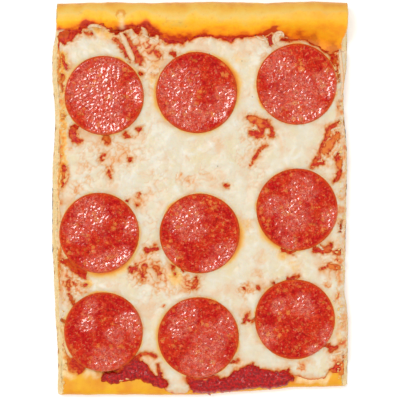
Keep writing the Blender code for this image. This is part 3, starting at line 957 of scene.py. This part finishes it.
def make_sauce(finish):
    """The tomato sauce, thickest in its masses at the front."""
    bm = layer_sheet(SAUCE_INSIDE, sauce_top, sauce_sole, SAUCE_STEP)

    def oil(x, y, z):
        side = np.maximum(ease((-x - 66) / 2) * (y < 77), ease((x - 69.5) / 2))
        side = np.maximum(side * ease(read(OPENING_GAP, x, y) / 0.8), read(OILY_SAUCE_STAIN, x, y))
        border = np.exp(-(positive(read(SAUCE_INSIDE, x, y)) / 1.2) ** 2) * (1 - rim_share(x, y))
        patch = 0.5 + layers((x, y), (0.8, 3.2, 26), (0.5, 1.2, 27))
        spread = np.clip((0.4 + 0.5 * border) * patch + 0.85 * side, 0, 1)
        return spread * (1 - 0.9 * lip(-read(MASS_GAP, x, y), 1)) * (1 - 0.7 * rim_share(x, y))

    def mass(x, y, z):
        rim = rim_share(x, y) * np.clip(0.7 + 0.7 * noise(3, x, y, seed=55), 0, 1)
        return np.maximum(lip(-read(MASS_GAP, x, y), 1.5), 0.35 * rim)

    add_piece("tomato_sauce_spread", bm, finish, "tomato_sauce", "tomato_sauce", oil=oil, mass=mass)


def make_cheese(finish):
    """The melted cheese, open where the sauce shows."""
    bm = layer_sheet(CHEESE_INSIDE, cheese_top, cheese_sole, CHEESE_STEP)

    def thin(x, y, z):
        inside, clear = read(CHEESE_INSIDE, x, y), read(DISC_GAP, x, y)
        creases = read(CREASE, x, y)
        cloud = 0.5 + layers((x, y), (0.5, 3.2, 28), (0.3, 1.3, 29))
        edge = (0.75 * falloff(inside, 0.6) + 0.38 * falloff(inside, 2.6)) * (0.4 + 0.9 * cloud)
        edge = edge * (1 - 0.7 * ease((np.abs(x) - 69.5) / 2))
        edge = edge + 0.7 * falloff(inside, 0.9) * (clear < 0.01)
        ring = (0.3 + layers((x, y), (0.3, 7, 60), (0.2, 2, 61))) * falloff(clear, 0.8)
        patch = read(RED_STAIN, x, y) * (0.3 + 0.4 * cloud + 1.25 * creases) + 0.12 * creases
        side = np.clip(0.35 + layers((x, y), (0.8, 4.5, 63), (0.4, 1.5, 65)), 0, 1)
        side = 0.66 * side * ease((x - 67) / 4) * ease((62 - y) / 12)
        broad = np.clip(0.05 + layers((x, y), (0.15, 11, 46), (0.1, 4.5, 47)), 0, 1)
        broad = broad * (1.3 - read(SHRED_RELIEF, x, y))
        return np.clip(np.maximum.reduce([edge, ring, patch, side]) + broad, 0, 1)

    def oil(x, y, z):
        wander = np.clip(0.35 + layers((x, y), (0.9, 9, 30), (0.3, 2, 48)), 0.05, 1.2)
        shares = [falloff(read(DISC_GAP, x, y), 0.2 + 0.8 * wander) * (0.12 + 0.7 * wander)]
        reach = 2.3 * (1 + 0.4 * noise(5, x, y, seed=64))
        for index, way, spread, strength in OILY_RINGS:
            disc = DISCS[index]
            run = toward(x - disc.x, y - disc.y, way, spread) * falloff(disc.gap(x, y), reach)
            shares.append(strength * run)
        creases = 0.85 + 0.35 * read(CREASE, x, y) + 0.15 * noise(4, x, y, seed=31)
        shares.append(read(YELLOW_STAIN, x, y) * creases)
        width = 2.4 + 0.9 * ease((y - 8) / 12)
        band = np.exp(-((x - OILY_BAND_X) / width) ** 2) * ease((y - 2) / 5) * ease((77 - y) / 4)
        shares.append(band * (0.62 + layers((x, y), (0.45, 3.5, 56), (0.35, 1.3, 57))))
        return np.clip(np.maximum.reduce(shares), 0, 1)

    add_piece(
        "melted_mozzarella", bm, finish, "melted_cheese", "mozzarella", thin=thin, oil=oil,
        ridge=lambda x, y, z: read(SHRED_RELIEF, x, y),
    )


PEPPERONI_CUTS = 108
PEPPERONI_LAYERS = 5
PEPPERONI_INSET = 0.35
PEPPERONI_LIFT = 0.1
PEPPERONI_THICKNESS = 1.55
PEPPERONI_DOME = 0.25
PEPPERONI_CURL = 0.45

# Where a slice sags over an edge of the cheese: {its index: (way in degrees, spread in degrees, depth)}.
PEPPERONI_SAGS = {3: (-120, 35, 0.6), 5: (-100, 30, 0.4), 6: (-95, 45, 0.9), 7: (-90, 40, 0.7)}


def round_grid(u, v):
    """Places from a square of -1 to 1 moved so that its nested squares become circles: (reach, x, y)."""
    wide = np.abs(u) >= np.abs(v)
    longer, shorter = np.where(wide, u, v), np.where(wide, v, u)
    angle = math.pi / 4 * shorter / np.where(longer == 0, 1, longer)
    angle = np.where(wide, angle, math.pi / 2 - angle)
    return np.abs(longer), longer * np.cos(angle), longer * np.sin(angle)


def wet_shares(spots, u, v, seed):
    """How wet with fat a slice of pepperoni is, from 0 to 1, at shares of its radius."""
    wet = np.zeros(u.shape)
    for x, y, width in spots:
        wet = np.maximum(wet, np.exp(-((u - x) ** 2 + (v - y) ** 2) / width ** 2))
    return ease((wet + 0.3 * noise(0.22, u, v, seed=seed) - 0.12) / 0.55)


def make_pepperoni(index, disc, finish):
    """One slice of pepperoni: domed, with a slightly curled edge and a grainy, partly wet face."""
    bm = gridded_box((PEPPERONI_CUTS, PEPPERONI_CUTS, PEPPERONI_LAYERS))
    dissolve(bm, lambda co: co.z < CUT_SKIN and math.hypot(co.x - 0.5, co.y - 0.5) < 0.36)
    u, v, c = places(bm.verts)
    reach, u, v = round_grid(2 * u - 1, 2 * v - 1)
    bend = np.arctan2(v, u)
    way_x, way_y = np.cos(bend), np.sin(bend)
    wobble = 0.3 * noise(1.1, way_x, way_y, seed=50 + index)
    bulge = np.where(reach > 1 - CUT_SKIN, 0.22 * np.sin(math.pi * c), 0)
    radius = disc.radius - PEPPERONI_INSET + wobble * reach + bulge
    x, y = disc.x + u * radius, disc.y + v * radius
    edge = (1 - reach) * disc.radius
    rounding = (1 - np.clip(edge / 0.9, 0, 1)) ** 2
    curl = ease((reach - 0.72) / 0.28) * (1 + 0.5 * noise(0.9, way_x, way_y, seed=60 + index))
    top = PEPPERONI_THICKNESS + PEPPERONI_DOME * (1 - reach ** 2) + PEPPERONI_CURL * curl - 0.5 * rounding
    low = 0.5 * PEPPERONI_CURL * curl + 0.3 * rounding
    waves = 0.28 * noise(13, x, y, seed=33) * (1 - 0.5 * reach)
    grain = layers((x, y), (0.08, 2.8, 34), (0.12, 1.2, 35), (0.06, 0.8, 36))
    z = low + (top - low) * c + waves * c + grain * c * ease(edge / 1.2)
    way, spread, sag = PEPPERONI_SAGS.get(index, (0, 1, 0))
    z = z - sag * ease((reach - 0.84) / 0.16) * toward(u, v, way, spread)
    place(bm.verts, x, y, z + dough_top(disc.x, y) + SEAT_DEPTH + PEPPERONI_LIFT)
    wet = wet_shares(WET_SPOTS[index], u, v, 70 + index)
    add_piece(
        f"pepperoni_slice_{index + 1}", bm, finish, "pepperoni", disc.node,
        wet=wet, edge=1 - ease(edge / 1.3),
    )


# ---- Shreds, crumbs and specks ----

# Shreds of cheese, given one by one: (half width, points).
SHREDS = (
    (1.6, ((-40.6, 84.6), (-37.9, 79), (-35.6, 74), (-33.6, 69.9))),
    (1.0, ((71.0, 76.0), (71.6, 68), (72.1, 60), (71.3, 52))),
    (0.9, ((38.7, 77.5), (37.4, 81.0), (38.5, 84.0), (41.1, 84.2), (42.3, 82))),
    (0.9, ((-57.0, 86.6), (-53.6, 87.6), (-50.0, 86.6))),
    (0.8, ((28.6, 82.4), (31.4, 80.8), (34.3, 81.2))),
    (0.7, ((31.8, 83.0), (33.8, 79.6), (34.4, 77.6))),
    (0.7, ((-29.5, 83.6), (-25.8, 81.6), (-21.8, 79.6))),
    (0.8, ((66.6, 34.2), (68.6, 35.4), (71.6, 36.2))),
    (0.8, ((57.6, -22.6), (60.6, -24.2), (62.6, -26.2))),
    (0.8, ((66.6, -79.2), (70.6, -78.6), (72.6, -76.8))),
)


def join_copies(shape, count):
    """One mesh of many copies of a small shape, and the coordinates of each copy as rows."""
    bmesh.ops.recalc_face_normals(shape, faces=shape.faces)
    bm = bmesh.new()
    source = bpy.data.meshes.new("source")
    shape.to_mesh(source)
    for _ in range(count):
        bm.from_mesh(source)
    bpy.data.meshes.remove(source)
    return bm, places(bm.verts).reshape(3, count, -1)


def ball_copies(count):
    """One mesh of many copies of a small ball, and the coordinates of each copy as rows."""
    ball = bmesh.new()
    bmesh.ops.create_icosphere(ball, subdivisions=2, radius=1)
    return join_copies(ball, count)


def make_shreds(finish):
    """Shreds of cheese that still show on the melted cheese."""
    tube = bmesh.new()
    bmesh.ops.create_cone(tube, cap_ends=True, segments=14, radius1=1, radius2=1, depth=1)
    sides = [e for e in tube.edges if abs(e.verts[0].co.z - e.verts[1].co.z) > 0.5]
    bmesh.ops.subdivide_edges(tube, edges=sides, cuts=31)
    bm, (across, up, forth) = join_copies(tube, len(SHREDS))
    x, y, z = np.zeros((3, *across.shape))
    for row, (width, path) in enumerate(SHREDS):
        share = forth[row] + 0.5
        knots = np.linspace(0, 1, len(path))
        smooth = np.polyfit(knots, np.array(path), min(3, len(path) - 1)).T
        at_x, at_y = (np.polyval(curve, share) for curve in smooth)
        way_x, way_y = (np.polyval(np.polyder(curve), share) for curve in smooth)
        length = np.hypot(way_x, way_y)
        half = width * np.clip(1.02 - np.abs(2 * share - 1) ** 5, 0, 1) ** 0.5
        half = half * (1 + layers((at_x, at_y), (0.25, 3, 37), (0.1, 1.1, 51)))
        x[row] = at_x - across[row] * half * way_y / length
        y[row] = at_y + across[row] * half * way_x / length
        level = np.maximum(cheese_top(at_x, at_y), sauce_top(at_x, at_y))
        z[row] = level - SUNK + 0.5 * up[row] * half
    place(bm.verts, x, y, z)
    edge = np.clip(np.abs(across), 0, 1).ravel()
    add_piece(
        "cheese_shreds", bm, finish, "melted_cheese", thin=0.2 + 0.35 * edge ** 2, ridge=0.3,
        oil=lambda x, y, z: 0.5 * falloff(read(DISC_GAP, x, y), 0.7),
    )


CRUMBS = 200


def make_crumbs(finish):
    """Crumbs of dough along the cut sides."""
    dice = np.random.default_rng(90)
    bm, (x, y, z) = ball_copies(CRUMBS)
    size = 0.18 + 0.5 * dice.random((CRUMBS, 1)) ** 2.5
    stretch = dice.uniform(0.7, 1.4, (3, CRUMBS, 1))
    side = dice.random((CRUMBS, 1)) >= 0.5
    at_y = dice.uniform(-97, 72, (CRUMBS, 1))
    at_x = cut_side(side, at_y, CUT_LEAN + 0.6 * dice.uniform(0.3, 4.5, (CRUMBS, 1)))
    key = np.arange(CRUMBS).reshape(-1, 1) * 3.1
    lump = size * (1 + 0.4 * noise(1.1, x + key, y, z, seed=38))
    level = dough_top(at_x, at_y)
    for chart, top, least in ((SAUCE_INSIDE, sauce_top, 0.4), (CHEESE_INSIDE, cheese_top, 0.3)):
        level = np.maximum(level, top(at_x, at_y) * (read(chart, at_x, at_y) > least))
    across, forth, up = stretch * lump * np.array((x, y, z))
    place(bm.verts, at_x + across, at_y + forth, level + 0.5 * size + up)
    add_piece(
        "dough_crumbs", bm, finish, "baked_dough",
        bake=0.5, crumb=0.7, pore=0, under=0, stain=0.25, front=0,
    )


# Burnt bits on the cheese: (x, y, half width).
SPECKS = (
    (28.2, 82.8, 0.34), (27.0, 35.0, 0.2), (4.8, 73.4, 0.2), (21.3, 69.8, 0.22), (26.5, 51.6, 0.2),
    (-29.6, 63.3, 0.24), (37.7, -42.8, 0.3), (-36.4, -1.6, 0.3), (9.0, 16.4, 0.2), (-10.0, -37.0, 0.24),
    (61.0, 19.4, 0.22), (-42.4, -57.0, 0.18), (22.6, -46.2, 0.22), (68.0, -52.0, 0.2),
    (-24.8, 64.0, 0.18),
)


def make_specks(finish):
    """Small burnt bits on the cheese."""
    bm, (x, y, z) = ball_copies(len(SPECKS))
    at_x, at_y, size = (np.array(column).reshape(-1, 1) for column in zip(*SPECKS))
    lump = size * (1 + 0.4 * noise(1.0, x + at_x, y + at_y, z, seed=39))
    level = np.maximum(cheese_top(at_x, at_y), sauce_top(at_x, at_y))
    place(bm.verts, at_x + x * lump, at_y + y * lump, level + 0.1 + 0.6 * z * lump)
    add_piece("dark_specks", bm, finish, "baked_dough")


# ---- Finishes ----

LIGHT_LEVEL = 1.25
SHEEN = 0.018


def shade(red, green, blue):
    """A colour as seen in the studio, where white is 255, made linear and freed of light and sheen."""
    levels = [value / 255 for value in (red, green, blue)]
    linear = [v / 12.92 if v <= 0.04045 else ((v + 0.055) / 1.055) ** 2.4 for v in levels]
    return (*[min(max(value - SHEEN, 0.002) / LIGHT_LEVEL, 1) for value in linear], 1)


class Number:
    """A value that changes over a surface. Working with it adds Math nodes to its finish."""

    def __init__(self, finish, socket):
        self.finish = finish
        self.socket = socket

    def math(self, operation, first, last):
        node = self.finish.node("ShaderNodeMath", {"operation": operation}, {0: first, 1: last})
        return Number(self.finish, node.outputs[0])

    def __add__(self, other):
        return self.math("ADD", self, other)

    __radd__ = __add__

    def __sub__(self, other):
        return self.math("SUBTRACT", self, other)

    def __rsub__(self, other):
        return self.math("SUBTRACT", other, self)

    def __mul__(self, other):
        return self.math("MULTIPLY", self, other)

    __rmul__ = __mul__

    def __pow__(self, other):
        return self.math("POWER", self, other)

    def absolute(self):
        return self.math("ABSOLUTE", self, 0)


class Finish:
    """A material that is put together from nodes."""

    def __init__(self, name):
        self.material = bpy.data.materials.new(name)
        self.material.use_nodes = True
        self.tree = self.material.node_tree
        self.shader = self.tree.nodes["Principled BSDF"]
        self.coordinates = self.node("ShaderNodeTexCoord").outputs["Object"]

    def node(self, kind, settings=None, inputs=None):
        """Adds a node: its settings first, then the values or links of its sockets."""
        made = self.tree.nodes.new(kind)
        for name, value in (settings or {}).items():
            setattr(made, name, value)
        self.feed(made, inputs or {})
        return made

    def feed(self, node, inputs):
        """Gives a node's sockets values or links."""
        for name, value in inputs.items():
            value = value.socket if isinstance(value, Number) else value
            if isinstance(value, bpy.types.NodeSocket):
                self.tree.links.new(value, node.inputs[name])
            else:
                node.inputs[name].default_value = value

    def attribute(self, name):
        """One of the values that add_piece gives a piece."""
        return Number(self, self.node("ShaderNodeAttribute", {"attribute_name": name}).outputs["Fac"])

    def cloud(self, size, detail=2, roughness=0.5, distortion=0.0):
        """Noise from 0 to 1 with bumps of this size in millimetres."""
        made = self.node("ShaderNodeTexNoise", None, {
            "Vector": self.coordinates, "Scale": 1 / (size * MM), "Detail": detail,
            "Roughness": roughness, "Distortion": distortion,
        })
        return Number(self, made.outputs["Fac"])

    def spots(self, size, least, most, wander=0.3):
        """Scattered ragged spots, at most one in each cell of this size; radii are shares of it."""
        warp = self.node("ShaderNodeTexNoise", None, {
            "Vector": self.coordinates, "Scale": 3 / (size * MM), "Detail": 2,
        })
        shift = self.node("ShaderNodeVectorMath", {"operation": "MULTIPLY_ADD"}, {
            0: warp.outputs["Color"], 1: [wander * size * MM] * 3, 2: self.coordinates,
        })
        made = self.node("ShaderNodeTexVoronoi", None, {
            "Vector": shift.outputs[0], "Scale": 1 / (size * MM), "Randomness": 1,
        })
        radius = Number(self, made.outputs["Color"]) ** 2 * (2 * (most - least)) + least
        return self.between(Number(self, made.outputs["Distance"]), radius, radius * 0.55)

    def between(self, value, low, high):
        """0 where a value is low, 1 where it is high, and smooth between."""
        made = self.node("ShaderNodeMapRange", {"interpolation_type": "SMOOTHSTEP"}, {
            "Value": value, "From Min": low, "From Max": high,
        })
        return Number(self, made.outputs["Result"])

    def blend(self, share, first, last):
        """The first colour where the share is 0, and the last where it is 1."""
        first, last = (shade(*side) if isinstance(side, tuple) else side for side in (first, last))
        made = self.node("ShaderNodeMix", {"data_type": "RGBA"}, {0: share, 6: first, 7: last})
        return made.outputs[2]

    def paint(self, colour, *coats):
        """A colour under coats of (share, colour) that are laid on in turn."""
        for share, coat in coats:
            colour = self.blend(share, colour, coat)
        return colour

    def ramp(self, share, stops):
        """A colour from a row of (place, colour) stops."""
        made = self.node("ShaderNodeValToRGB", None, {"Fac": share})
        points = made.color_ramp.elements
        while len(points) < len(stops):
            points.new(0.5)
        for point, (at, colour) in zip(points, stops):
            point.position = at
            point.color = shade(*colour)
        return made.outputs["Color"]

    def bump(self, height, depth):
        """A surface normal from heights of 0 to 1 that stand for this depth in millimetres."""
        made = self.node("ShaderNodeBump", None, {
            "Height": height, "Distance": depth * MM, "Strength": 1,
        })
        return made.outputs["Normal"]

    def surface(self, **inputs):
        """Sets the shader's sockets, named with _ for each space, and returns the material."""
        self.feed(self.shader, {name.replace("_", " "): value for name, value in inputs.items()})
        return self.material


def crust_finish():
    """Baked dough: golden to brown crust, pale crumb with pores that are painted darker as shade, and a
    browned base.
    """
    f = Finish("baked_dough")
    wander = (f.cloud(6, 3) - 0.5) * 0.22 + (f.cloud(1.2, 2) - 0.5) * 0.1
    # The stops from 0.12 to 0.42 lie on the rim's front slope: partly the dough's golden colour, partly
    # painted light that makes up for the slope's shade.
    crust = f.ramp(f.attribute("bake") + wander, (
        (0.0, (214, 70, 28)), (0.05, (254, 120, 22)), (0.12, (276, 166, 20)),
        (0.26, (284, 200, 34)), (0.42, (266, 204, 72)), (0.58, (249, 206, 106)),
        (0.74, (250, 196, 84)), (0.9, (248, 182, 68)), (1.0, (240, 166, 60)),
    ))
    golden = f.blend(f.between(f.cloud(8, 3), 0.3, 0.7), (246, 158, 8), (254, 188, 34))
    stain = f.ramp(f.attribute("stain"), (
        (0.0, (246, 216, 160)), (0.4, (242, 176, 98)), (0.75, (236, 132, 56)), (1.0, (214, 78, 38)),
    ))
    # The crumb's colours are partly its own pale colour and partly painted light: they are paler than the
    # crumb, to make up for the shade on the cut sides.
    crumb = f.paint(
        (264, 238, 186),
        (f.between(f.cloud(1.6, 3), 0.35, 0.7), (256, 222, 156)),
        # Darker where the bubble pits in the cut sides are deep: painted shade in the pits.
        (f.between(f.attribute("pore") + f.spots(1.6, 0.1, 0.24) * 0.25, 0.1, 1.0), (250, 212, 146)),
        (f.between(f.attribute("stain"), 0.05, 0.4), stain),
    )
    base = f.paint(
        (226, 168, 88),
        (f.between(f.cloud(9, 4, 0.6), 0.36, 0.68), (176, 108, 44)),
        (f.spots(3.4, 0.1, 0.3) * 0.6, (236, 190, 120)),
    )
    colour = f.paint(
        crust,
        (f.attribute("front"), golden),
        (f.between(f.cloud(2.2, 3, 0.6), 0.56, 0.74) * 0.3, (226, 134, 42)),
        (f.attribute("crumb"), crumb),
        (f.attribute("under"), base),
    )
    relief = f.cloud(0.8, 3, 0.6) * 0.6 + f.cloud(2.6, 2) * 0.4
    return f.surface(
        Base_Color=colour, Roughness=0.5 + 0.25 * f.attribute("crumb"), Specular_IOR_Level=0.35,
        Normal=f.bump(relief, 0.2), Subsurface_Weight=0.1, Subsurface_Scale=2 * MM,
    )


def sauce_finish():
    """Tomato sauce: grainy, orange where it is thin or oily, deep red where it is thick, with painted
    highlights on its masses.
    """
    f = Finish("tomato_sauce")
    grain, mass = f.cloud(1.3, 3, 0.6), f.attribute("mass")
    thick_sauce = f.blend(f.between(grain, 0.36, 0.66), (150, 9, 7), (216, 38, 22))
    # lights: pale pink specks on the thick masses, painted highlights that stand in for glints.
    lights = f.spots(1.7, 0.04, 0.2, 0.9) * f.between(f.cloud(4, 2), 0.42, 0.58)
    colour = f.paint(
        (196, 34, 20),
        (f.between(grain, 0.35, 0.66), (230, 80, 38)),
        (f.between(f.cloud(5, 2), 0.52, 0.64) * 0.6, (234, 122, 48)),
        (mass, thick_sauce),
        (f.between(f.attribute("oil") + (grain - 0.5) * 0.6, 0.25, 0.75) * 0.9, (242, 140, 62)),
        (f.spots(1.9, 0.08, 0.24) * 0.5, (226, 96, 56)),
        # The painted highlights on the masses.
        (lights * mass * 0.45, (238, 140, 112)),
    )
    relief = grain * 0.5 + f.cloud(0.5, 2) * 0.5
    return f.surface(
        Base_Color=colour, Roughness=0.22 + 0.3 * f.cloud(0.9, 2), Specular_IOR_Level=0.2,
        Normal=f.bump(relief, 0.6), Coat_Weight=0.05 + 0.1 * mass, Coat_Roughness=0.12,
    )


def cheese_finish():
    """Melted cheese: cream where it is thick, orange to red where it is thin or oily."""
    f = Finish("melted_cheese")
    thin, oil, ridge = f.attribute("thin"), f.attribute("oil"), f.attribute("ridge")
    fleck = f.cloud(1.8, 2, 0.5)
    thinner = f.ramp(thin + (fleck - 0.5) * 0.12, (
        (0.0, (240, 228, 200)), (0.14, (240, 219, 188)), (0.3, (241, 201, 158)),
        (0.5, (241, 172, 108)), (0.72, (235, 124, 62)), (1.0, (208, 68, 34)),
    ))
    oily = f.ramp(oil, (
        (0.0, (246, 222, 176)), (0.4, (252, 204, 118)), (0.7, (252, 164, 62)), (1.0, (242, 108, 34)),
    ))
    colour = f.paint(
        (239, 228, 202),
        (f.between(f.cloud(9, 3), 0.36, 0.66), (240, 222, 180)),
        (f.between(f.cloud(6, 3, 0.5, 1.0) + 0.2 * ridge, 0.48, 0.8), (243, 236, 218)),
        (f.between(thin, 0.02, 0.22), thinner),
        (f.between(oil + (fleck - 0.5) * 0.2, 0.08, 0.5), oily),
    )
    relief = f.cloud(3, 2, 0.5) * 0.7 + fleck * 0.3
    return f.surface(
        Base_Color=colour, Roughness=0.34 + 0.14 * f.cloud(3, 2), Specular_IOR_Level=0.4,
        Normal=f.bump(relief, 0.3), Subsurface_Weight=0.3, Subsurface_Scale=2 * MM,
        Subsurface_Radius=(1.0, 0.6, 0.35),
    )


def pepperoni_finish():
    """Pepperoni: red meat with flecks of fat, glossy where it is wet, with a web of painted highlights on
    the wet patches.
    """
    f = Finish("pepperoni")
    wet, edge = f.attribute("wet"), f.attribute("edge")
    broad, middle, small = f.cloud(7, 3), f.cloud(2.4, 3, 0.6), f.cloud(1.3, 3, 0.7)
    fat = f.spots(2.8, 0.1, 0.45, 1.1) * f.between(broad, 0.4, 0.6)
    # A web of thin lines on the wet patches: pale lines painted as highlights, with dark red lines beside
    # them.
    glint_web = (f.cloud(1.2, 2, 0.6, 0.8) - 0.5).absolute()
    glint_patches = f.between(f.cloud(2.6, 2), 0.36, 0.58) * wet
    colour = f.paint(
        (216, 38, 24),
        (f.between(broad, 0.36, 0.64), (234, 62, 34)),
        (f.between(middle, 0.5, 0.66) * 0.5, (234, 92, 50)),
        (f.between(middle, 0.46, 0.3) * 0.7, (176, 20, 18)),
        (f.between(small, 0.55, 0.66) * 0.7, (246, 138, 96)),
        (f.between(small, 0.45, 0.32) * 0.45, (150, 14, 16)),
        (wet * 0.55, (244, 78, 44)),
        (fat * 0.8, (250, 146, 76)),
        (f.spots(6, 0.06, 0.2, 0.7) * 0.6, (242, 132, 62)),
        # The dark red lines, then the pale lines: painted highlights that stand in for glints on the wet
        # fat.
        (f.between(glint_web, 0.07, 0.13) * glint_patches * 0.45, (164, 18, 18)),
        (f.between(glint_web, 0.05, 0.01) * glint_patches * 0.6, (268, 176, 140)),
        (edge * 0.8, (240, 98, 24)),
    )
    film = (f.cloud(1.9, 2, 0.6, 0.6) - 0.5).absolute()
    relief = f.between(film, 0.12, 0.0) * 0.4 + f.cloud(0.6, 1.5) * 0.6
    cluster = 0.2 + 0.8 * f.between(f.cloud(1.7, 2), 0.42, 0.54)
    return f.surface(
        Base_Color=colour, Roughness=0.5 - 0.15 * wet, Specular_IOR_Level=0.15, Coat_Weight=wet * cluster,
        Coat_Roughness=0.15, Coat_IOR=1.66, Normal=f.bump(relief, 0.75),
    )


def speck_finish():
    """Burnt bits, dark brown."""
    f = Finish("dark_specks")
    colour = f.blend(f.between(f.cloud(0.5, 2), 0.4, 0.6), (70, 34, 22), (126, 66, 32))
    return f.surface(Base_Color=colour, Roughness=0.55)


# ---- The whole slice ----


def main():
    """Builds the studio and every piece."""
    make_camera()
    make_studio()
    crust, cheese, meat = crust_finish(), cheese_finish(), pepperoni_finish()
    make_crust(crust)
    make_sauce(sauce_finish())
    make_cheese(cheese)
    for index, disc in enumerate(DISCS):
        make_pepperoni(index, disc, meat)
    make_shreds(cheese)
    make_crumbs(crust)
    make_specks(speck_finish())


main()
